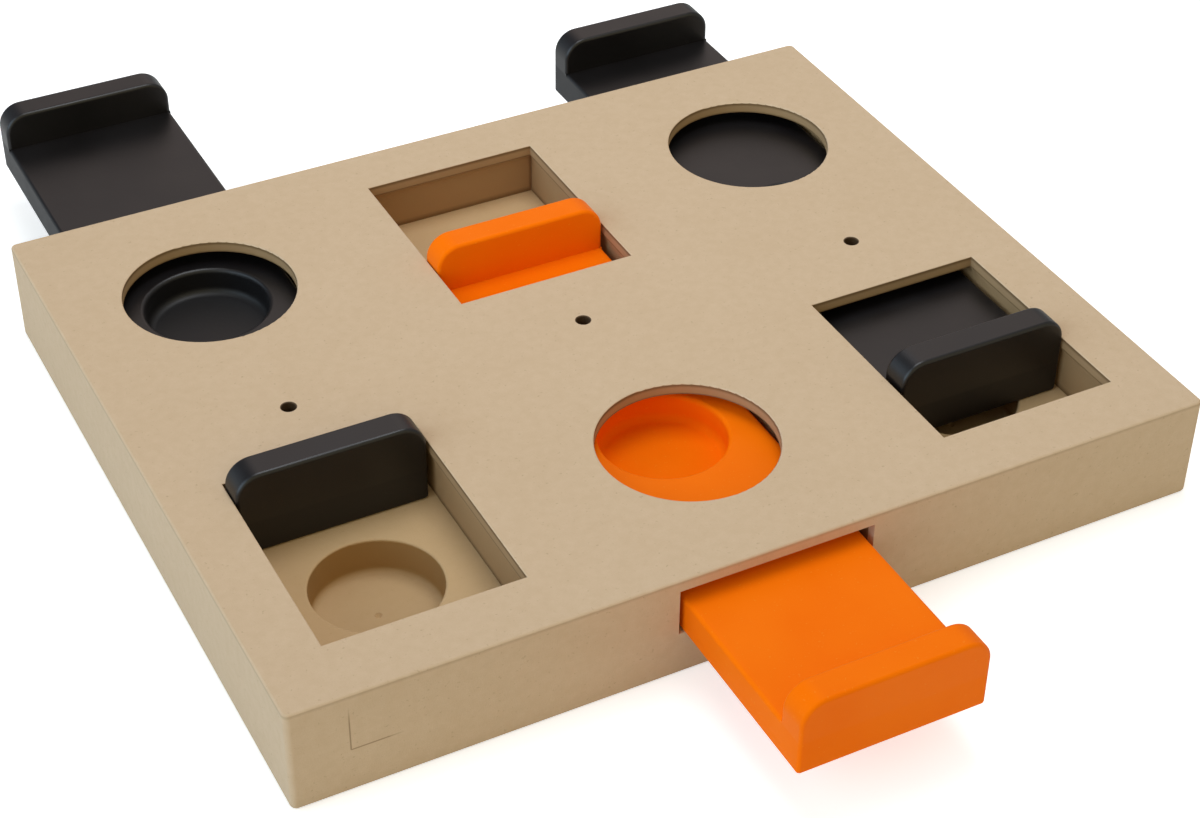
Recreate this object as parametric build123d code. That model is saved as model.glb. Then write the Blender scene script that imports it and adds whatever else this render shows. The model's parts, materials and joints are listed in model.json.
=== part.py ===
"""Sliding-drawer puzzle feeder for dogs: a layered fibreboard tray with three painted sliders.

Frame: millimetres, +Z up, origin at the centre of the board's underside, +X to the right along the
front edge, +Y towards the back. The left and right sliders pull out of the back edge, the middle
one out of the front edge. All three are shown where they stand at rest.
"""
import os

from build123d import *

# ---- Driving dimensions of the board --------------------------------------------------------
top_thickness = 4.0            # sheet with the windows
channel_height = 16.0          # strips between the two panels
base_thickness = 16.0          # panel with the treat wells
divider_width = 36.0           # strip between two channels
side_rail_width = 18.0         # strip along each side of the board
window_margin = 21.0           # from the board's end to the square window's outer edge
square_window_length = 76.0    # along the slider's travel
centre_web = 51.0              # twice the distance from the middle line to a square window
round_window_diameter = 56.0
round_window_margin = 26.0     # from the board's end to the round window's outer edge
scent_hole_diameter = 4.5
window_rim_radius = 0.4        # softened upper edge of every window and scent hole
corner_radius = 2.0            # upright corners of the board
top_edge_radius = 0.8
bottom_edge_radius = 2.0
plug_setback = 2.0             # the plug's inner face stands this far behind the window's edge

# ---- Treat wells in the base ----------------------------------------------------------------
well_diameter = 40.0
well_depth = 12.0
well_floor_radius = 1.8        # rounding where the wall meets the floor
well_rim_radius = 0.8          # softened mouth
well_shift = 1.5               # well centre, from the window's centre towards the board's end
drill_mark_diameter = 2.4      # left by the centre point of the drill
drill_mark_tip = 0.4           # blunt end of the mark
drill_mark_depth = 0.9

# ---- Driving dimensions of a slider ---------------------------------------------------------
slider_width = 60.0
plate_thickness = 12.0
grip_thickness = 10.0          # along the travel
inner_grip_height = 16.5       # above the plate, so that it stands out of the window
outer_grip_height = 13.0
grip_corner_radius = 8.0       # upper corners at both ends of a grip
painted_edge_radius = 1.2      # every exposed edge of a slider
recess_diameter = 40.0
recess_depth = 9.0
recess_floor_radius = 2.5
recess_rim_radius = 1.4
recess_past_centre = 3.9       # recess centre beyond the round window's centre, slider fully out

# ---- Dowels that pin the grips to the plate -------------------------------------------------
dowel_diameter = 6.0
dowel_in_plate = 7.0
dowel_in_grip = 8.0
dowel_spacing = 34.0
dowel_chamfer = 0.6            # at both ends of a dowel
dowel_side_gap = 0.05          # glue between a dowel and the wall of its hole
dowel_top_gap = 0.5            # left above a dowel, in the grip

# ---- Clearances -----------------------------------------------------------------------------
window_side_clearance = 0.7    # each side of a grip in its window
channel_side_clearance = 2.0   # each side of a plate in its channel
stop_gap = 0.5                 # between a grip and the window's edge at each end of the travel
closed_gap = 5.5               # between the outer grip and the board when a slider is pushed in

# ---- Where the sliders stand at rest --------------------------------------------------------
pulled_share = {"left": 0.995, "middle": 0.72, "right": 0.37}   # share of the travel
side_shift = {"left": -0.4, "middle": -0.4, "right": 0.4}       # sideways play taken up

# ---- Sizes worked out from those above ------------------------------------------------------
square_window_width = slider_width + 2 * window_side_clearance
channel_width = slider_width + 2 * channel_side_clearance
channel_pitch = channel_width + divider_width
board_width = 2 * channel_pitch + channel_width + 2 * side_rail_width
board_depth = 2 * window_margin + 2 * square_window_length + centre_web
board_height = base_thickness + channel_height + top_thickness
half_depth = board_depth / 2
square_window_y = half_depth - window_margin - square_window_length / 2
round_window_y = half_depth - round_window_margin - round_window_diameter / 2
plug_length = window_margin - plug_setback
well_y = square_window_y + well_shift

pushed_in_end = half_depth - window_margin - stop_gap
slider_length = pushed_in_end + half_depth + closed_gap + grip_thickness
travel = square_window_length - grip_thickness - 2 * stop_gap
recess_from_inner_end = (pushed_in_end - travel) + round_window_y + recess_past_centre

channel_x = {"left": -channel_pitch, "middle": 0.0, "right": channel_pitch}
# Which way each slider pulls out: +1 towards the back edge, -1 towards the front edge.
pull_direction = {"left": 1, "middle": -1, "right": 1}
names = ("left", "middle", "right")
near = 0.01                    # two heights or radii closer than this are the same


def block(width, depth, height, x=0.0, y=0.0, z=0.0):
    """A box that is centred on x and y and stands on z."""
    return Pos(x, y, z) * Box(width, depth, height, align=(Align.CENTER, Align.CENTER, Align.MIN))


def disc(diameter, height, x=0.0, y=0.0, z=0.0):
    """A cylinder that is centred on x and y and stands on z."""
    aligned = (Align.CENTER, Align.CENTER, Align.MIN)
    return Pos(x, y, z) * Cylinder(diameter / 2, height, align=aligned)


def board_layer(height, z):
    """A full sheet of the board, with its four upright corners rounded."""
    outline = RectangleRounded(board_width, board_depth, corner_radius)
    return Pos(0, 0, z) * extrude(outline, amount=height)


def outline_edges(sheet, z):
    """The edges round the outside of a sheet, at height z."""
    return sheet.faces().filter_by(Axis.Z).sort_by(lambda face: abs(face.center().Z - z))[0].edges()


def inner_rims(sheet):
    """The edges of every opening in the upper face of a sheet."""
    upper = sheet.faces().filter_by(Axis.Z).sort_by(Axis.Z)[-1]
    return [edge for wire in upper.inner_wires() for edge in wire.edges()]


# ---- The board ------------------------------------------------------------------------------
def make_top_panel():
    """Thin sheet with a square and a round window over each channel, and a scent hole between."""
    z = base_thickness + channel_height
    sheet = board_layer(top_thickness, z)
    sheet = fillet(outline_edges(sheet, board_height), top_edge_radius)
    for name in names:
        x = channel_x[name]
        out = pull_direction[name]
        y = -out * square_window_y
        sheet -= block(square_window_width, square_window_length, top_thickness, x, y, z)
        sheet -= disc(round_window_diameter, top_thickness, x, out * round_window_y, z)
        sheet -= disc(scent_hole_diameter, top_thickness, x, 0, z)
    return fillet(inner_rims(sheet), window_rim_radius)


def make_well():
    """The space of one treat well, mouth upwards at z = 0, with the mark of the drill's point."""
    well = disc(well_diameter, well_depth, z=-well_depth)
    well = fillet(well.edges().sort_by(Axis.Z)[0], well_floor_radius)
    hanging = (Align.CENTER, Align.CENTER, Align.MAX)
    mark = Cone(drill_mark_tip / 2, drill_mark_diameter / 2, drill_mark_depth, align=hanging)
    return well + Pos(0, 0, -well_depth) * mark


def make_base_panel():
    """Thick sheet that closes the channels below, with a treat well under each square window."""
    sheet = board_layer(base_thickness, 0)
    sheet = fillet(outline_edges(sheet, 0), bottom_edge_radius)
    for name in names:
        sheet -= Pos(channel_x[name], -pull_direction[name] * well_y, base_thickness) * make_well()
    return fillet(inner_rims(sheet), well_rim_radius)


def make_side_rail(side):
    """Strip along one side of the board; side is -1 on the left and +1 on the right."""
    strip = block(side_rail_width, board_depth, channel_height,
                  side * (board_width - side_rail_width) / 2, 0, base_thickness)
    return strip & board_layer(channel_height, base_thickness)


def make_divider(side):
    """Strip between the middle channel and an outer one."""
    x = side * channel_pitch / 2
    return block(divider_width, board_depth, channel_height, x, 0, base_thickness)


def make_plug(name):
    """Block glued flush into the closed end of a channel, behind the square window."""
    y = -pull_direction[name] * (half_depth - plug_length / 2)
    return block(channel_width, plug_length, channel_height, channel_x[name], y, base_thickness)


# ---- A slider, built with its inner end at y = 0, pulling out along +Y, its underside at z = 0 ----
def grip_profile(height):
    """Front view of a grip: a bar with its two upper corners rounded."""
    bar = Rectangle(slider_width, height, align=(Align.CENTER, Align.MIN))
    upper_corners = bar.vertices().group_by(Axis.Y)[-1]
    return fillet(upper_corners, grip_corner_radius)


def make_grip(height, y):
    """A grip that stands on the plate, from y to y + grip_thickness."""
    bar = extrude(Plane.XZ.offset(-(y + grip_thickness)) * grip_profile(height), amount=grip_thickness)
    ends = [bar.faces().sort_by(Axis.Y)[0], bar.faces().sort_by(Axis.Y)[-1]]
    foot = bar.faces().sort_by(Axis.Z)[0].center().Z
    exposed = [edge for face in ends for edge in face.edges() if edge.center().Z > foot + near]
    return Pos(0, 0, plate_thickness) * fillet(exposed, painted_edge_radius)


def make_plate():
    """The slider's plate, with square upper edges under the grips and rounded ones between them."""
    middle_length = slider_length - 2 * grip_thickness
    middle = block(slider_width, middle_length, plate_thickness, 0, slider_length / 2)
    middle = fillet(middle.edges().filter_by(Axis.Y), painted_edge_radius)
    plate = middle
    for y, outward in ((grip_thickness / 2, -1), (slider_length - grip_thickness / 2, 1)):
        end = block(slider_width, grip_thickness, plate_thickness, 0, y)
        upright = end.edges().filter_by(Axis.Z).group_by(Axis.Y)[0 if outward < 0 else -1]
        lower_sides = end.edges().filter_by(Axis.Y).group_by(Axis.Z)[0]
        lower_cross = end.edges().filter_by(Axis.X).group_by(Axis.Z)[0].sort_by(Axis.Y)
        lower_end = lower_cross[0 if outward < 0 else -1]
        plate += fillet(list(upright) + list(lower_sides) + [lower_end], painted_edge_radius)
    floor = plate_thickness - recess_depth
    recess = disc(recess_diameter, recess_depth, 0, recess_from_inner_end, floor)
    recess = fillet(recess.edges().sort_by(Axis.Z)[0], recess_floor_radius)
    plate -= recess
    circles = plate.edges().filter_by(GeomType.CIRCLE)
    circles = [edge for edge in circles if abs(edge.radius - recess_diameter / 2) < near]
    rim = [edge for edge in circles if abs(edge.center().Z - plate_thickness) < near]
    return fillet(rim, recess_rim_radius)


def dowel_places():
    """Centres of the four dowels, two under each grip."""
    grip_centres = (grip_thickness / 2, slider_length - grip_thickness / 2)
    return [(x, y) for y in grip_centres for x in (-dowel_spacing / 2, dowel_spacing / 2)]


def dowel_rods(diameter, length):
    """Plain rods where the four dowels are, all standing dowel_in_plate below the plate's top."""
    foot = plate_thickness - dowel_in_plate
    return [disc(diameter, length, x, y, foot) for x, y in dowel_places()]


def make_dowels():
    """The four dowels of a slider, chamfered at both ends."""
    rods = dowel_rods(dowel_diameter, dowel_in_plate + dowel_in_grip)
    return [chamfer(rod.edges().filter_by(GeomType.CIRCLE), dowel_chamfer) for rod in rods]


def make_slider_pieces():
    """The four nodes of a slider, in the slider's own frame."""
    hole_depths = dowel_in_plate + dowel_in_grip + dowel_top_gap
    holes = dowel_rods(dowel_diameter + 2 * dowel_side_gap, hole_depths)
    pieces = {"slider_plate": make_plate(),
              "inner_grip": make_grip(inner_grip_height, 0),
              "outer_grip": make_grip(outer_grip_height, slider_length - grip_thickness)}
    for key in pieces:
        for hole in holes:
            pieces[key] -= hole
    pieces["grip_dowels"] = Compound(make_dowels())
    return pieces


def slider_place(name):
    """Where a slider stands at rest: on the channel's floor, pulled out by its share of the travel."""
    out = pull_direction[name]
    inner_end = -out * (pushed_in_end - pulled_share[name] * travel)
    turn = 0 if out > 0 else 180
    return Pos(channel_x[name] + side_shift[name], inner_end, base_thickness) * Rot(0, 0, turn)


# ---- Write every node -----------------------------------------------------------------------
nodes = {"top_panel": make_top_panel(),
         "base_panel": make_base_panel(),
         "left_side_rail": make_side_rail(-1),
         "right_side_rail": make_side_rail(1),
         "left_divider": make_divider(-1),
         "right_divider": make_divider(1),
         "left_front_plug": make_plug("left"),
         "middle_back_plug": make_plug("middle"),
         "right_front_plug": make_plug("right")}
slider_pieces = make_slider_pieces()
for name in names:
    for piece, shape in slider_pieces.items():
        nodes[f"{name}_{piece}"] = slider_place(name) * shape

os.makedirs("parts", exist_ok=True)
for node, shape in nodes.items():
    export_step(shape, f"parts/{node}.step")

print(f"board {board_width:.1f} x {board_depth:.1f} x {board_height:.1f}")
print(f"slider {slider_length:.1f} long, travel {travel:.1f}")
for name in names:
    print(f"{name} slider pulled out {pulled_share[name] * travel:.2f}")
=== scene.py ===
# %% [markdown]
# # A sliding puzzle feeder for dogs
#
# The feeder is a thick board, glued up from bare fibreboard, with three channels inside it. A
# painted slider runs in each channel. Windows in the top sheet show the sliders' recesses and the
# treat wells in the base, and the dog uncovers the treats by pulling and pushing the sliders.
#
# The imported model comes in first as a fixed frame. It already holds every rigid piece at its real
# size, so what is left is what a maker would call the finish: the look of sanded fibreboard, of
# brown cut walls inside the windows, and of satin paint over wood.

# %% Load the frame
import json
import math

import bpy
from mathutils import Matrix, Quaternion, Vector


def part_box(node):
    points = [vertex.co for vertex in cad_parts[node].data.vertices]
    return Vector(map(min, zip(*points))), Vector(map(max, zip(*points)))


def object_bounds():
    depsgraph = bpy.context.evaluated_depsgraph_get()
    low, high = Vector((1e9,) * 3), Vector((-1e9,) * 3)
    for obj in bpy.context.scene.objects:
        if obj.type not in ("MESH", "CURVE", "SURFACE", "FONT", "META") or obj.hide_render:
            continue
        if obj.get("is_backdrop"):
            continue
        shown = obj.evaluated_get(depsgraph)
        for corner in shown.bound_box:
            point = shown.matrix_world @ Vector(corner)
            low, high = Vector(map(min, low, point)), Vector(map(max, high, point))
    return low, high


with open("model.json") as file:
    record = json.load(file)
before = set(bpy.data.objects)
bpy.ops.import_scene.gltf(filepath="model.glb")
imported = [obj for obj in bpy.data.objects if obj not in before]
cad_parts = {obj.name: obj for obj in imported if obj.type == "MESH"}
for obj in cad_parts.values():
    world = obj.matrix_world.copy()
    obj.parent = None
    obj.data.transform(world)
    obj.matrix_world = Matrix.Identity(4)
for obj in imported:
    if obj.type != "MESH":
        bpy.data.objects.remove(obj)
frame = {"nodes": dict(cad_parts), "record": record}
cad_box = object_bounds()
millimetre = 0.001
nodes = frame["nodes"]
board_nodes = frame["record"]["behaviour"]["bodies"]["board"]
slider_names = ("left", "middle", "right")
corners = [round(v / millimetre, 1) for corner in cad_box for v in corner]
print("nodes", len(nodes), "box in mm", corners)

# %% [markdown]
# ## Camera
#
# A product picture like this one is taken with a moderate telephoto lens, from the left front and
# from well above, so that the windows show their depth. A camera is placed by where it stands, its
# heading, how far it looks down, and a small roll, because nobody holds a camera quite level.

# %% Set up the camera
camera_place = Vector((-0.2876, -0.5597, 0.4903))
camera_heading = math.radians(27.71)    # from +Y towards +X
camera_dip = math.radians(37.91)        # below the horizon
camera_roll = math.radians(0.64)
lens_millimetres = 73.3
sensor_millimetres = 36.0
nearest_seen = 0.01
furthest_seen = 50

camera = bpy.data.objects.new("camera", bpy.data.cameras.new("camera"))
bpy.context.scene.collection.objects.link(camera)
looking = Vector((math.sin(camera_heading) * math.cos(camera_dip),
                  math.cos(camera_heading) * math.cos(camera_dip),
                  -math.sin(camera_dip)))
level_turn = looking.to_track_quat("-Z", "Y")
camera.location = camera_place
camera.rotation_mode = "QUATERNION"
camera.rotation_quaternion = level_turn @ Quaternion((0, 0, 1), camera_roll)
camera.data.lens = lens_millimetres
camera.data.sensor_width = sensor_millimetres
camera.data.clip_start = nearest_seen
camera.data.clip_end = furthest_seen
bpy.context.scene.camera = camera
print("camera looks along", [round(v, 3) for v in looking])

# %% [markdown]
# ## Helpers for shader nodes
#
# Every finish below is a small network of shader nodes. Adding one by hand takes several lines, so
# a helper does it in one. An input that is given another node's output becomes a link, and
# anything else becomes the socket's own value.

# %% Add a node and fill in its sockets
def fill(tree, socket, value):
    """Link a node's output to a socket, or write a plain value into it."""
    if isinstance(value, bpy.types.NodeSocket):
        tree.links.new(value, socket)
    else:
        socket.default_value = value


def add(tree, kind, settings=None, **inputs):
    """Add a node; inputs are by socket name with _ for a space, or in_0, in_1 by number."""
    node = tree.nodes.new(kind)
    for name, value in (settings or {}).items():
        setattr(node, name, value)
    for name, value in inputs.items():
        key = int(name[3:]) if name.startswith("in_") else name.replace("_", " ")
        fill(tree, node.inputs[key], value)
    return node


print("helpers:", fill.__name__, add.__name__)

# %% [markdown]
# A few kinds of node come back in every finish: sums, a map from one range of values to another,
# a mix of two colours, and noise. Their helpers return the node's output, so that one call can
# stand inside another.

# %% Sums, ranges, mixed colours and noise
def math_node(tree, operation, *values):
    """A Math node with its values in order; returns its output."""
    inputs = {f"in_{i}": value for i, value in enumerate(values)}
    return add(tree, "ShaderNodeMath", {"operation": operation}, **inputs).outputs[0]


def remap(tree, value, low, high, to_low=0.0, to_high=1.0):
    """Map a value from low..high to to_low..to_high, held at both ends."""
    return add(tree, "ShaderNodeMapRange", {"clamp": True}, Value=value, From_Min=low, From_Max=high,
               To_Min=to_low, To_Max=to_high).outputs["Result"]


def blend_colours(tree, share, first, second, blend="MIX"):
    """Mix two colours by share; a Mix node's colours are its inputs 6 and 7, its output 2."""
    settings = {"data_type": "RGBA", "blend_type": blend}
    return add(tree, "ShaderNodeMix", settings, in_0=share, in_6=first, in_7=second).outputs[2]


def noise(tree, place, scale, detail, **more):
    """A Noise Texture's value, from 0 to 1; scale is in features for each metre."""
    return add(tree, "ShaderNodeTexNoise", Vector=place, Scale=scale, Detail=detail, **more).outputs["Fac"]


print("helpers:", math_node.__name__, remap.__name__, blend_colours.__name__, noise.__name__)

# %% [markdown]
# An effect that several pieces or colours need is a node group: a network in a box, with named
# inputs and outputs. It is built once, and each material that uses it gives it its own values.

# %% Make and use a node group
socket_kinds = {"value": "NodeSocketFloat", "colour": "NodeSocketColor", "vector": "NodeSocketVector"}


def start_group(name, inputs, outputs):
    """Make a node group; inputs and outputs are {name: (kind, default)} and {name: kind}."""
    tree = bpy.data.node_groups.new(name, "ShaderNodeTree")
    for label, (kind, default) in inputs.items():
        socket = tree.interface.new_socket(label, in_out="INPUT", socket_type=socket_kinds[kind])
        socket.default_value = default
    for label, kind in outputs.items():
        tree.interface.new_socket(label, in_out="OUTPUT", socket_type=socket_kinds[kind])
    entry = tree.nodes.new("NodeGroupInput")
    leave = tree.nodes.new("NodeGroupOutput")
    return tree, entry.outputs, leave.inputs


def use_group(tree, group, **values):
    """Place a group in a material's tree, with its own values; returns its outputs."""
    return add(tree, "ShaderNodeGroup", {"node_tree": group}, **values).outputs


print("kinds of socket:", ", ".join(socket_kinds))

# %% [markdown]
# A material starts with Blender's general shader, the Principled BSDF. Its patterns read Object
# coordinates. Every piece's object sits at the origin, so these are places in the frame, and a
# pattern runs on from piece to piece.

# %% Start a material and dress a piece
def start_material(name, slot_colour):
    """A material with a Principled BSDF; returns the material, its tree and the shader."""
    material = bpy.data.materials.new(name)
    material.use_nodes = True
    material.diffuse_color = slot_colour
    tree = material.node_tree
    return material, tree, tree.nodes["Principled BSDF"]


def place_on_piece(tree):
    """A point's place in the frame, in metres."""
    return tree.nodes.new("ShaderNodeTexCoord").outputs["Object"]


def dress(piece, material):
    """Give a piece one material in place of the plain one that it came with."""
    piece.data.materials.clear()
    piece.data.materials.append(material)


print("helpers:", start_material.__name__, place_on_piece.__name__, dress.__name__)

# %% [markdown]
# ## Light and floor
#
# The picture is a studio packshot: a white sweep, big soft sources, hardly any shadow. A world
# whose light changes with direction does that softly. It is a dim even light with a few broad
# glows in it: a cool one from the left, which makes that side as light as the top, two behind the
# board, which the glossy paint mirrors, a weak one from the right, and a warm one in front.

# %% Where the light comes from
def towards(azimuth, height):
    """Unit vector by degrees: azimuth from +Y towards +X, height above the horizon."""
    turn, rise = math.radians(azimuth), math.radians(height)
    return Vector((math.sin(turn) * math.cos(rise), math.cos(turn) * math.cos(rise), math.sin(rise)))


even_light = (0.15, 0.15, 0.15)
glows = [    # azimuth, height and half width in degrees, then the light added at the middle
    ("left window", -90, 15, 48, (1.90, 2.44, 2.90)),
    ("card behind", 27, 36, 30, (0.76, 0.59, 0.50)),
    ("sweep behind", 0, 10, 60, (0.05, 0.06, 0.09)),
    ("right", 90, 25, 60, (0.25, 0.25, 0.25)),
    ("warm room in front", 180, 20, 70, (0.66, 0.57, 0.30))]
print(len(glows), "glows over an even light of", even_light[0])

# %% [markdown]
# Each glow is brightest in its own direction and fades with the angle from it. The glows are added
# up in the world's nodes. The camera itself sees a white background instead of them.

# %% Add the glows up in the world
white = (1, 1, 1, 1)

world = bpy.data.worlds.new("studio")
bpy.context.scene.world = world
world.use_nodes = True
sky = world.node_tree
direction = sky.nodes.new("ShaderNodeTexCoord").outputs["Generated"]
light = (*even_light, 1)
for name, azimuth, height, half_width, strength in glows:
    facing = add(sky, "ShaderNodeVectorMath", {"operation": "DOT_PRODUCT"}, in_0=direction,
                 in_1=towards(azimuth, height)).outputs["Value"]
    share = remap(sky, facing, math.cos(math.radians(half_width)), 1.0)
    light = blend_colours(sky, share, light, (*strength, 1), "ADD")
    print("glow:", name)
straight = sky.nodes.new("ShaderNodeLightPath").outputs["Is Camera Ray"]
seen = blend_colours(sky, straight, light, white)
sky.links.new(seen, sky.nodes["Background"].inputs["Color"])

# %% [markdown]
# One real lamp, a square softbox, hangs above the board, a little behind its middle. It is small
# enough to put a shade under the top sheet's edges and at the foot of the grips, for which the
# broad glows are too soft.

# %% Hang the softbox
lamp_place = Vector((0.05, 0.08, 0.75))
lamp_size = 0.42
lamp_watts = 2.55
lamp_colour = (0.92, 0.95, 1.0)

lamp = bpy.data.objects.new("softbox", bpy.data.lights.new("softbox", "AREA"))
bpy.context.scene.collection.objects.link(lamp)
lamp.data.size = lamp_size
lamp.data.energy = lamp_watts
lamp.data.color = lamp_colour
lamp.location = lamp_place
lamp.rotation_mode = "QUATERNION"
lamp.rotation_quaternion = (-lamp_place).to_track_quat("-Z", "Y")
bpy.context.scene.view_settings.view_transform = "Standard"
print("softbox", round(lamp_place.length, 2), "m away")

# %% [markdown]
# The floor is plain white paper. Seen straight by the camera it gets light of its own, so that it
# reads as white, and only the deepest part of the shadow is left, close to the board.

# %% Lay the floor
floor_size = 14.0
floor_glow = 0.56
paper_white = (0.86, 0.86, 0.86, 1)

bpy.ops.object.select_all(action="DESELECT")
bpy.ops.mesh.primitive_plane_add(size=floor_size, location=(0, 0, 0))
floor = bpy.context.object
floor.name = "floor"
floor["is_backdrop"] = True

paper = bpy.data.materials.new("white_paper")
paper.use_nodes = True
tree = paper.node_tree
tree.nodes.remove(tree.nodes["Principled BSDF"])
sheet = add(tree, "ShaderNodeBsdfDiffuse", Color=paper_white).outputs[0]
shine = add(tree, "ShaderNodeEmission", Color=white, Strength=floor_glow).outputs[0]
lit = add(tree, "ShaderNodeAddShader", in_0=sheet, in_1=shine).outputs[0]
camera_ray = tree.nodes.new("ShaderNodeLightPath").outputs["Is Camera Ray"]
chosen = add(tree, "ShaderNodeMixShader", in_0=camera_ray, in_1=sheet, in_2=lit).outputs[0]
tree.links.new(chosen, tree.nodes["Material Output"].inputs["Surface"])
floor.data.materials.append(paper)
print("floor", floor_size, "m across")

# %% [markdown]
# ## Bare fibreboard
#
# Medium-density fibreboard is wood ground to fibres and pressed with glue. Its sanded face is an
# even tan, with very short pale and dark fibres lying every way, a few dark flecks of bark, and
# slow clouds where the mat was denser. Where it is cut, the fibres stand up and look browner.
#
# The sheets, strips and plugs of the board were glued and then sanded together, so the pattern has
# to run on from one piece to the next. It is made from a point's place in the frame, which all
# the pieces share, and not from each piece's own size.
#
# A fibre is noise drawn out along one direction. Four such noises, each lying another way, are
# added, and their mean is spread out again, because a mean of four is flatter than one.

# %% Short fibres that lie every way
lying = [    # how each noise is squeezed along X, Y and Z, and how it is turned, in radians
    ((1, 7, 7), (0, 0, 0)),
    ((7, 1, 7), (0, 0, 0.5)),
    ((7, 7, 1), (0.6, 0.3, 0)),
    ((1, 7, 7), (0, 0, 2.0))]

fibreboard_group, given, made = start_group(
    "pressed_fibre",
    {"Place": ("vector", (0, 0, 0)), "Fibre Length": ("value", 1.8 * millimetre),
     "Mottle Size": ("value", 3.2 * millimetre), "Fleck Size": ("value", 1.1 * millimetre),
     "Cloud Size": ("value", 35 * millimetre)},
    {"Fibre": "value", "Mottle": "value", "Fleck": "value", "Cloud": "value"})
tree = fibreboard_group
fibres_per_metre = math_node(tree, "DIVIDE", 1.0, given["Fibre Length"])
fibre = None
for stretch, turn in lying:
    turned = add(tree, "ShaderNodeMapping", Vector=given["Place"], Rotation=turn, Scale=stretch).outputs[0]
    one_way = noise(tree, turned, fibres_per_metre, 3.0, Roughness=0.6)
    fibre = one_way if fibre is None else math_node(tree, "ADD", fibre, one_way)
mean_fibre = math_node(tree, "DIVIDE", fibre, float(len(lying)))
tree.links.new(remap(tree, mean_fibre, 0.38, 0.62), made["Fibre"])
print("fibres lie", len(lying), "ways")

# %% [markdown]
# Mottle, flecks and clouds are plain noises of three sizes. Only the levels that are kept differ:
# mottle and clouds keep a wide band of them, and the flecks only the few highest peaks.

# %% Mottle, flecks and clouds
spots = [    # the output's name, the noise's detail, and the levels that become 0 and 1
    ("Mottle", 3.0, 0.32, 0.68),
    ("Fleck", 2.0, 0.67, 0.76),
    ("Cloud", 4.0, 0.3, 0.7)]
for name, detail, low, high in spots:
    per_metre = math_node(tree, "DIVIDE", 1.0, given[f"{name} Size"])
    spot = noise(tree, given["Place"], per_metre, detail)
    tree.links.new(remap(tree, spot, low, high), made[name])
print("group", fibreboard_group.name, "has", len(fibreboard_group.nodes), "nodes")

# %% [markdown]
# ## Cut walls, wells and holes
#
# The windows were cut through the top sheet with a hot, fast cutter, which leaves their walls
# browner than the face, with a darker line along the upper edge; part of the walls' darkness is
# painted shade. A mask finds those walls: they are upright, above the base sheet, and inside the
# board's outline. What lies deep inside the board was never sanded with the faces, and gets a mask
# of its own. The outer sides get only a faint line along their upper edge.
#
# The masks need to know where the layers are. Their heights are measured on the pieces. The pitch
# of the channels and the depth of the wells are the imported model's own sizes.

# %% Measure the board's layers
top_low, top_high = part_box("top_panel")
base_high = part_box("base_panel")[1]
plug_low, plug_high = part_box("left_front_plug")
channel_pitch = 100 * millimetre
channel_half_width = (plug_high.x - plug_low.x) / 2
plug_face = -plug_high.y           # how far a plug's inner face is from the middle line
well_depth = 12 * millimetre
well_floor = base_high.z - well_depth
print("top sheet from", round(top_low.z / millimetre, 1), "to", round(top_high.z / millimetre, 1), "mm")
print("well floor at", round(well_floor / millimetre, 1), "mm")

# %% [markdown]
# One group puts out all the masks of the cut faces. It takes the point's place and the surface's
# normal there, and a few sizes that a material may change.

# %% Start the group for cut walls
scorch_depth = 1.6 * millimetre    # the dark line along an upper edge ends here
scent_hole_reach = 2.6 * millimetre

cut_wall_group, given, made = start_group(
    "cut_wall",
    {"Place": ("vector", (0, 0, 0)), "Normal": ("vector", (0, 0, 1)), "Sheet Top": ("value", top_high.z),
     "Scorch Depth": ("value", scorch_depth), "Hole Pitch": ("value", channel_pitch),
     "Hole Reach": ("value", scent_hole_reach)},
    {"Inside": "value", "Floor": "value", "Scorch": "value", "Hole Shade": "value", "Line": "value",
     "Well Wall Shade": "value", "Rim": "value"})
tree = cut_wall_group
at = add(tree, "ShaderNodeSeparateXYZ", in_0=given["Place"]).outputs
normal = add(tree, "ShaderNodeSeparateXYZ", in_0=given["Normal"]).outputs
print("masks:", ", ".join(socket.name for socket in made if socket.name))

# %% [markdown]
# An upright wall is found by its normal, whose Z is near 0, and by its height above the base
# sheet. Both fade over a short way, so that a rounded edge isn't cut hard. The inside of the board
# is what lies further in than its outline.

# %% Find the walls inside the board
outline_inset = 3 * millimetre
rim_fade = 0.3 * millimetre        # over the rounded rim of a well
slanting_z, upright_z = 0.60, 0.25    # a normal's Z where a wall begins to count, and counts in full

facing_side = remap(tree, math_node(tree, "ABSOLUTE", normal["Z"]), slanting_z, upright_z)
above_base = remap(tree, at["Z"], base_high.z - rim_fade, base_high.z + 0.1 * rim_fade)
upright = math_node(tree, "MULTIPLY", facing_side, above_base)
from_side = math_node(tree, "ABSOLUTE", at["X"])
from_end = math_node(tree, "ABSOLUTE", at["Y"])
inside_x = math_node(tree, "LESS_THAN", from_side, top_high.x - outline_inset)
inside_y = math_node(tree, "LESS_THAN", from_end, top_high.y - outline_inset)
within = math_node(tree, "MULTIPLY", inside_x, inside_y)
wall = math_node(tree, "MULTIPLY", within, upright)
tree.links.new(wall, made["Inside"])
print("walls are looked for", round(outline_inset / millimetre, 1), "mm inside the outline")

# %% [markdown]
# How far a point is below the sheet's face gives the scorched line at the top of a wall, the same
# line on the outer sides, and the rough faces deep inside.

# %% Edges and depths
scorch_full = 0.7 * millimetre     # the dark line is as dark as it gets down to here
rough_from, rough_full = 1 * millimetre, 6 * millimetre

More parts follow.
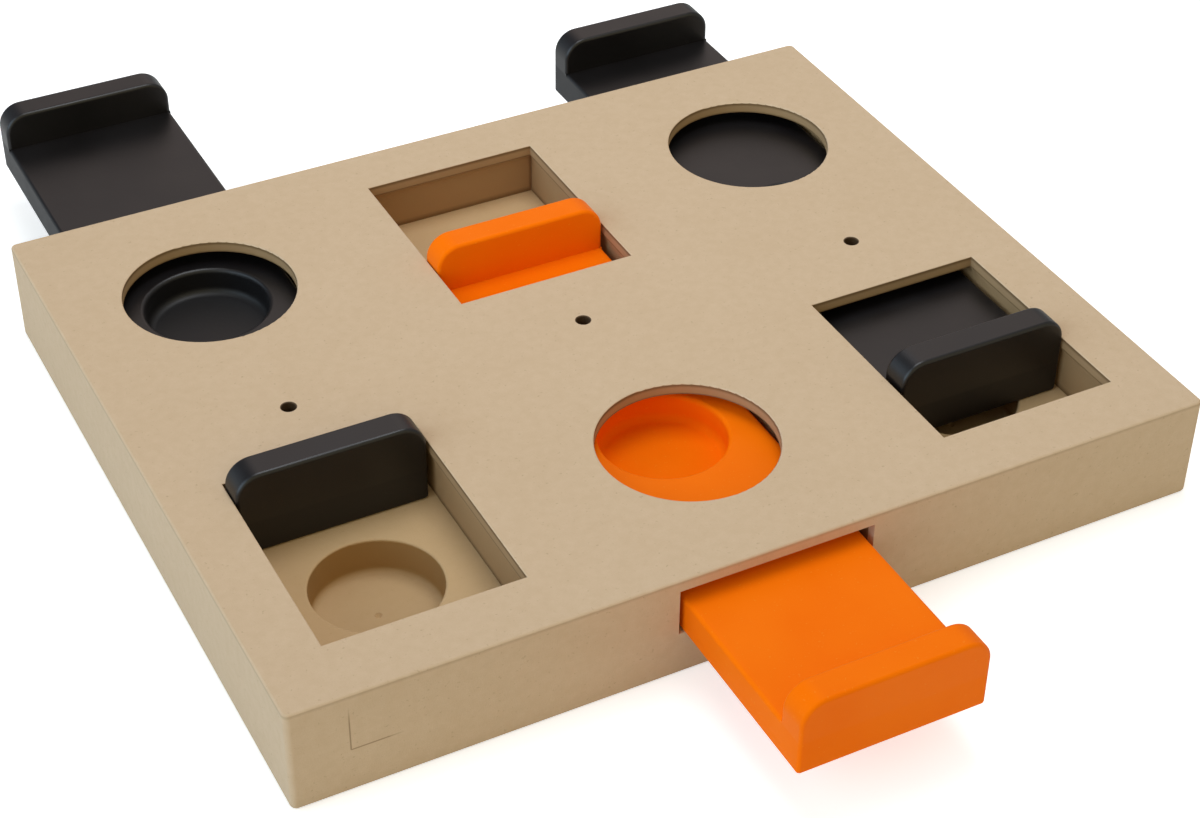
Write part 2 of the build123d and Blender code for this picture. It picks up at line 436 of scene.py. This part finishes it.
below_top = math_node(tree, "SUBTRACT", given["Sheet Top"], at["Z"])
deep = remap(tree, below_top, rough_from, rough_full)
near_top = remap(tree, below_top, given["Scorch Depth"], scorch_full)
outer_side = math_node(tree, "MULTIPLY", math_node(tree, "SUBTRACT", 1.0, within), upright)
tree.links.new(math_node(tree, "MULTIPLY", within, deep), made["Floor"])
tree.links.new(math_node(tree, "MULTIPLY", near_top, wall), made["Scorch"])
tree.links.new(math_node(tree, "MULTIPLY", near_top, outer_side), made["Rim"])
print("scorched line down to", round(scorch_depth / millimetre, 1), "mm")

# %% [markdown]
# The scent holes are narrow and deep, and their insides and mouths are painted near-black as
# painted shade, so one more mask takes what is close to a hole's axis. The three axes are one
# channel pitch apart, and a ping-pong of X folds them onto each other.

# %% The scent holes
half_pitch = math_node(tree, "MULTIPLY", given["Hole Pitch"], 0.5)
from_hole = math_node(tree, "PINGPONG", from_side, half_pitch)
off_axis = add(tree, "ShaderNodeCombineXYZ", X=from_hole, Y=from_end).outputs[0]
hole_distance = add(tree, "ShaderNodeVectorMath", {"operation": "LENGTH"}, in_0=off_axis).outputs["Value"]
# painted shade: what lies close to a scent hole's axis is painted near-black
hole_shade = math_node(tree, "LESS_THAN", hole_distance, given["Hole Reach"])
tree.links.new(hole_shade, made["Hole Shade"])
print("scent holes", round(channel_pitch / millimetre, 1), "mm apart")

# %% [markdown]
# Dark lines mark where the top sheet meets the strips, where a wall meets the base sheet, and the
# corners beside the plugs. Under the sheet and beside the plugs they are glue lines with painted
# shade in the crease; at the foot of a wall the wider band is painted shade.

# %% Lines of glue and painted shade
line_width = 1.1 * millimetre


def close_to(value, level, reach):
    """1 where value is at the level, falling to 0 at reach from it."""
    distance = math_node(tree, "ABSOLUTE", math_node(tree, "SUBTRACT", value, level))
    return remap(tree, distance, reach, reach * 0.3)


under_sheet = close_to(at["Z"], top_low.z, line_width * 0.6)
# painted shade: a soft dark band at the foot of each wall, where it meets the base sheet
foot_shade = close_to(at["Z"], base_high.z, line_width * 2)
near_plug = math_node(tree, "GREATER_THAN", from_end, plug_face - line_width * 0.7)
beside = remap(tree, from_hole, channel_half_width - line_width, channel_half_width - line_width * 0.3)
below_sheet = math_node(tree, "LESS_THAN", at["Z"], top_low.z)
corner = math_node(tree, "MULTIPLY", math_node(tree, "MULTIPLY", near_plug, beside), below_sheet)
line = math_node(tree, "MAXIMUM", math_node(tree, "MAXIMUM", under_sheet, foot_shade), corner)
tree.links.new(math_node(tree, "MULTIPLY", line, wall), made["Line"])
print("glue lines", round(line_width / millimetre, 1), "mm wide")

# %% [markdown]
# The walls of the wells are browner still, partly as drilled fibreboard and partly as painted shade
# in the deep wells. They are found by their depth alone, because their rim and foot are rounded and
# the normal turns there from face to wall.

# %% The walls of the wells
well_foot_fade = 1.2 * millimetre
# mask of the well walls, which get brown and painted shade
into_well = remap(tree, at["Z"], base_high.z - rim_fade, base_high.z - 2 * rim_fade)
over_well_floor = remap(tree, at["Z"], well_floor, well_floor + well_foot_fade)
well_wall = math_node(tree, "MULTIPLY", into_well, over_well_floor)
tree.links.new(math_node(tree, "MULTIPLY", well_wall, within), made["Well Wall Shade"])
print("group", cut_wall_group.name, "has", len(cut_wall_group.nodes), "nodes")

# %% [markdown]
# ## The plug's hairline
#
# Each channel is closed at one end by a plug, glued in flush and sanded over. Such a plug's outline
# shows as a hairline only where the glue left a gap: on the left front plug at one upright edge
# and a part of the lower one. The group measures how far a point of the face is from both edges.

# %% Start the group for a plug's hairline
hairline_run = 16 * millimetre
hairline_width = 0.6 * millimetre
face_reach = 0.4 * millimetre      # a point this close to the face is on it

seam_group, given, made = start_group(
    "plug_seam",
    {"Place": ("vector", (0, 0, 0)), "Seam X": ("value", 0.0), "Seam Z": ("value", 0.0),
     "Face Y": ("value", 0.0), "Run X": ("value", hairline_run), "Run Z": ("value", hairline_run),
     "Width": ("value", hairline_width)},
    {"Seam": "value"})
tree = seam_group
at = add(tree, "ShaderNodeSeparateXYZ", in_0=given["Place"]).outputs
from_face = math_node(tree, "ABSOLUTE", math_node(tree, "SUBTRACT", at["Y"], given["Face Y"]))
on_face = math_node(tree, "LESS_THAN", from_face, face_reach)
along_x = math_node(tree, "SUBTRACT", at["X"], given["Seam X"])
along_z = math_node(tree, "SUBTRACT", at["Z"], given["Seam Z"])
half_width = math_node(tree, "MULTIPLY", given["Width"], 0.5)
print("hairline", round(hairline_run / millimetre, 1), "mm long each way")

# %% [markdown]
# Both lines start at the plug's lower left corner, one upwards and one to the right, and fade out
# towards the end of their run.

# %% Draw the two hairlines
def line_mask(across, along, run):
    """1 on a line of the seam's width that fades out along its run."""
    widths_off = math_node(tree, "DIVIDE", math_node(tree, "ABSOLUTE", across), half_width)
    thin = remap(tree, widths_off, 1.0, 0.4)
    started = math_node(tree, "GREATER_THAN", along, 0.0)
    fading = remap(tree, math_node(tree, "DIVIDE", along, run), 1.0, 0.6)
    return math_node(tree, "MULTIPLY", math_node(tree, "MULTIPLY", thin, started), fading)


upright_line = line_mask(along_x, along_z, given["Run Z"])
level_line = line_mask(along_z, along_x, given["Run X"])
either = math_node(tree, "MAXIMUM", upright_line, level_line)
tree.links.new(math_node(tree, "MULTIPLY", either, on_face), made["Seam"])
print("group", seam_group.name, "has", len(seam_group.nodes), "nodes")

# %% [markdown]
# ## The fibreboard's colours
#
# Fibreboard is tan, paler along its fibres and browner in its clouds. Cutting burns it to darker
# browns, and the cut walls, the wells, the creases and the scent holes get darker browns as
# painted shade too.

# %% The fibreboard's colours
tan = (0.600, 0.440, 0.290, 1)
pale_fibre = (0.710, 0.550, 0.390, 1)
mottle_brown = (0.500, 0.345, 0.200, 1)
dark_fleck = (0.270, 0.165, 0.085, 1)
# browning of cut fibreboard, and also painted shade on the window walls
cut_brown_and_shade = (0.370, 0.228, 0.108, 1)
# partly the drilled wall's own brown, partly painted shade in the deep wells
well_brown_and_shade = (0.385, 0.218, 0.072, 1)
# dark of the scorched upper edges, also used as painted shade in creases and at the foot of walls
scorch_and_shade_dark = (0.150, 0.084, 0.036, 1)
# near-black painted shade inside and around the scent holes
hole_shade_dark = (0.050, 0.024, 0.010, 1)
rough_face = (0.620, 0.398, 0.172, 1)
seam_brown = (0.230, 0.140, 0.070, 1)
print("tan is", tan[:3])

# %% [markdown]
# The colours go on like thin washes, one over the other: first the fibres, mottle, clouds and
# flecks of the sanded face, then the rough and the cut faces and the dark lines. Each wash has a
# mask that says where it lies and a share that says how much it covers.

# %% Mix the fibreboard's colours
fibreboard, tree, shader = start_material("sanded_fibreboard", tan)
place = place_on_piece(tree)
facing = tree.nodes.new("ShaderNodeTexCoord").outputs["Normal"]
pattern = use_group(tree, fibreboard_group, Place=place)
walls = use_group(tree, cut_wall_group, Place=place, Normal=facing)
seam = use_group(tree, seam_group, Place=place, Seam_X=plug_low.x, Seam_Z=plug_low.z,
                 Face_Y=plug_low.y)["Seam"]
# painted shade in these washes: in part on the cut walls, the well walls and the dark lines, and in full
# in the near-black scent holes
washes = [
    (pattern["Fibre"], 0.36, pale_fibre), (pattern["Mottle"], 0.22, mottle_brown),
    (pattern["Cloud"], 0.12, mottle_brown), (pattern["Fleck"], 0.30, dark_fleck),
    (walls["Floor"], 0.60, rough_face), (walls["Inside"], 0.85, cut_brown_and_shade),
    (walls["Well Wall Shade"], 0.82, well_brown_and_shade), (walls["Scorch"], 0.75, scorch_and_shade_dark),
    (walls["Line"], 0.65, scorch_and_shade_dark), (walls["Rim"], 0.22, scorch_and_shade_dark),
    (walls["Hole Shade"], 0.90, hole_shade_dark), (seam, 0.7, seam_brown)]
colour = tan
for mask, share, tone in washes:
    colour = blend_colours(tree, math_node(tree, "MULTIPLY", mask, share), colour, tone)
tree.links.new(colour, shader.inputs["Base Color"])
print(len(washes), "washes over the tan")

# %% [markdown]
# Sanded fibreboard is matte, a little less so between the fibres, and the fibres stand up by less
# than a tenth of a millimetre. That is too little to model, so a bump does it.

# %% Give the fibreboard its matte, fibrous face
fibre_relief = 0.1 * millimetre
matte = (0.80, 0.92)               # roughness between the fibres and on them
weak_gloss = 0.25

tree.links.new(remap(tree, pattern["Fibre"], 0.0, 1.0, *matte), shader.inputs["Roughness"])
shader.inputs["Specular IOR Level"].default_value = weak_gloss
height = math_node(tree, "ADD", pattern["Fibre"], math_node(tree, "MULTIPLY", pattern["Mottle"], 0.5))
relief = add(tree, "ShaderNodeBump", Strength=0.35, Distance=fibre_relief, Height=height).outputs["Normal"]
tree.links.new(relief, shader.inputs["Normal"])

for name in board_nodes:
    dress(nodes[name], fibreboard)
print("fibreboard on", len(board_nodes), "pieces")

# %% [markdown]
# ## Paint on the sliders
#
# The sliders are sanded, sprayed and rubbed down: a satin coat that shows a faint orange-peel, a
# little fibre raised under it, and slow changes of gloss. Below the plate's upper face, on its sides
# and in the recess, the coat is thin and duller. One group makes those things, and each colour uses
# it with its own tones.

# %% The paint's surface in one group
plate_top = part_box("left_slider_plate")[1].z
thin_from, thin_full = 0.1 * millimetre, 0.8 * millimetre    # below the plate's upper face

paint_group, given, made = start_group(
    "sprayed_coat",
    {"Place": ("vector", (0, 0, 0)), "Peel Size": ("value", 2.2 * millimetre),
     "Patch Size": ("value", 22 * millimetre), "Plate Top": ("value", plate_top)},
    {"Peel": "value", "Patch": "value", "Speck": "value", "Sides": "value"})
tree = paint_group
peels_per_metre = math_node(tree, "DIVIDE", 1.0, given["Peel Size"])
patches_per_metre = math_node(tree, "DIVIDE", 1.0, given["Patch Size"])
specks_per_metre = math_node(tree, "MULTIPLY", peels_per_metre, 2.5)
peel = noise(tree, given["Place"], peels_per_metre, 2.0)
patch = noise(tree, given["Place"], patches_per_metre, 3.0)
speck = noise(tree, given["Place"], specks_per_metre, 1.0)
height = add(tree, "ShaderNodeSeparateXYZ", in_0=given["Place"]).outputs["Z"]
depth = math_node(tree, "SUBTRACT", given["Plate Top"], height)
tree.links.new(peel, made["Peel"])
tree.links.new(remap(tree, patch, 0.3, 0.7), made["Patch"])
tree.links.new(remap(tree, speck, 0.70, 0.76), made["Speck"])
tree.links.new(remap(tree, depth, thin_from, thin_full), made["Sides"])
print("coat is thin below", round(plate_top / millimetre, 1), "mm")

# %% [markdown]
# A paint is its two tones, which change slowly from patch to patch, its paler specks, a range of
# roughness, and how strongly and in what colour it mirrors. The numbers that are the same all over
# are written on the shader's own sockets.

# %% A satin paint
speck_share = 0.35
dull_extra = 0.14                  # added to the roughness where the coat is thin
peel_relief = 0.06 * millimetre


def mix_paint(name, tones, roughness, gloss, gloss_tint):
    """A satin paint; tones are its main, second and speck colours."""
    tone, second_tone, speck_tone = tones
    material, tree, shader = start_material(name, tone)
    coat = use_group(tree, paint_group, Place=place_on_piece(tree), Plate_Top=plate_top)
    colour = blend_colours(tree, coat["Patch"], tone, second_tone)
    specks = math_node(tree, "MULTIPLY", coat["Speck"], speck_share)
    tree.links.new(blend_colours(tree, specks, colour, speck_tone), shader.inputs["Base Color"])
    open_roughness = remap(tree, coat["Patch"], 0.0, 1.0, *roughness)
    extra = math_node(tree, "MULTIPLY", coat["Sides"], dull_extra)
    tree.links.new(math_node(tree, "ADD", open_roughness, extra), shader.inputs["Roughness"])
    shader.inputs["Specular IOR Level"].default_value = gloss
    shader.inputs["Specular Tint"].default_value = gloss_tint
    bump = add(tree, "ShaderNodeBump", Strength=0.20, Distance=peel_relief, Height=coat["Peel"])
    tree.links.new(bump.outputs["Normal"], shader.inputs["Normal"])
    return material


print("speck share", speck_share, "and extra roughness", dull_extra)

# %% [markdown]
# The outer sliders are black, with a neutral gloss. The middle one is orange. Its gloss is weak
# and orange too, because a white one would make the strong colour pale.

# %% Mix the two paints and paint the sliders
black_tones = ((0.0030, 0.0024, 0.0030, 1), (0.0052, 0.0042, 0.0048, 1), (0.0200, 0.0180, 0.0180, 1))
orange_tones = ((0.985, 0.184, 0.0020, 1), (0.960, 0.166, 0.0015, 1), (0.980, 0.300, 0.0400, 1))
orange_gloss = (1, 0.45, 0, 1)
black_paint = mix_paint("black_satin_paint", black_tones, (0.34, 0.42), 0.50, white)
orange_paint = mix_paint("orange_satin_paint", orange_tones, (0.38, 0.48), 0.12, orange_gloss)
paints = {"left": black_paint, "middle": orange_paint, "right": black_paint}

for name in slider_names:
    for piece in ("slider_plate", "inner_grip", "outer_grip"):
        dress(nodes[f"{name}_{piece}"], paints[name])
    print(name, "slider painted with", paints[name].name)

# %% [markdown]
# ## Dowels
#
# The grips are pinned to the plates with short beech dowels, which nobody sees once the slider is
# painted. They still get wood that would look right if a slider were taken apart: fine straight
# grain along the dowel, with the short dark dashes that beech has.

# %% Beech for the dowels
beech_slot = (0.62, 0.43, 0.25, 1)
beech_pale = (0.66, 0.47, 0.28, 1)
beech_brown = (0.54, 0.35, 0.19, 1)
dash_brown = (0.30, 0.17, 0.08, 1)
along_the_dowel = (1, 1, 0.08)     # draws the pattern out along Z
grain_per_metre, dashes_per_metre = 1400.0, 3200.0
bare_wood_roughness = 0.7

beech, tree, shader = start_material("beech", beech_slot)
grain_place = add(tree, "ShaderNodeMapping", Vector=place_on_piece(tree), Scale=along_the_dowel).outputs[0]
grain = noise(tree, grain_place, grain_per_metre, 4.0)
dashes = noise(tree, grain_place, dashes_per_metre, 1.0)
colour = blend_colours(tree, remap(tree, grain, 0.35, 0.65), beech_pale, beech_brown)
colour = blend_colours(tree, remap(tree, dashes, 0.66, 0.72, 0.0, 0.6), colour, dash_brown)
tree.links.new(colour, shader.inputs["Base Color"])
shader.inputs["Roughness"].default_value = bare_wood_roughness
for name in slider_names:
    dress(nodes[f"{name}_grip_dowels"], beech)
print("beech on", len(slider_names), "sets of dowels")

# %% [markdown]
# ## Sizes
#
# Nothing here changes a shape, so the box round everything that is seen has to be the packed
# model's own box.

# %% Print the box round what is seen
visual_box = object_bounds()
corners = [round(v / millimetre, 1) for corner in visual_box for v in corner]
print("visual box in mm", corners)
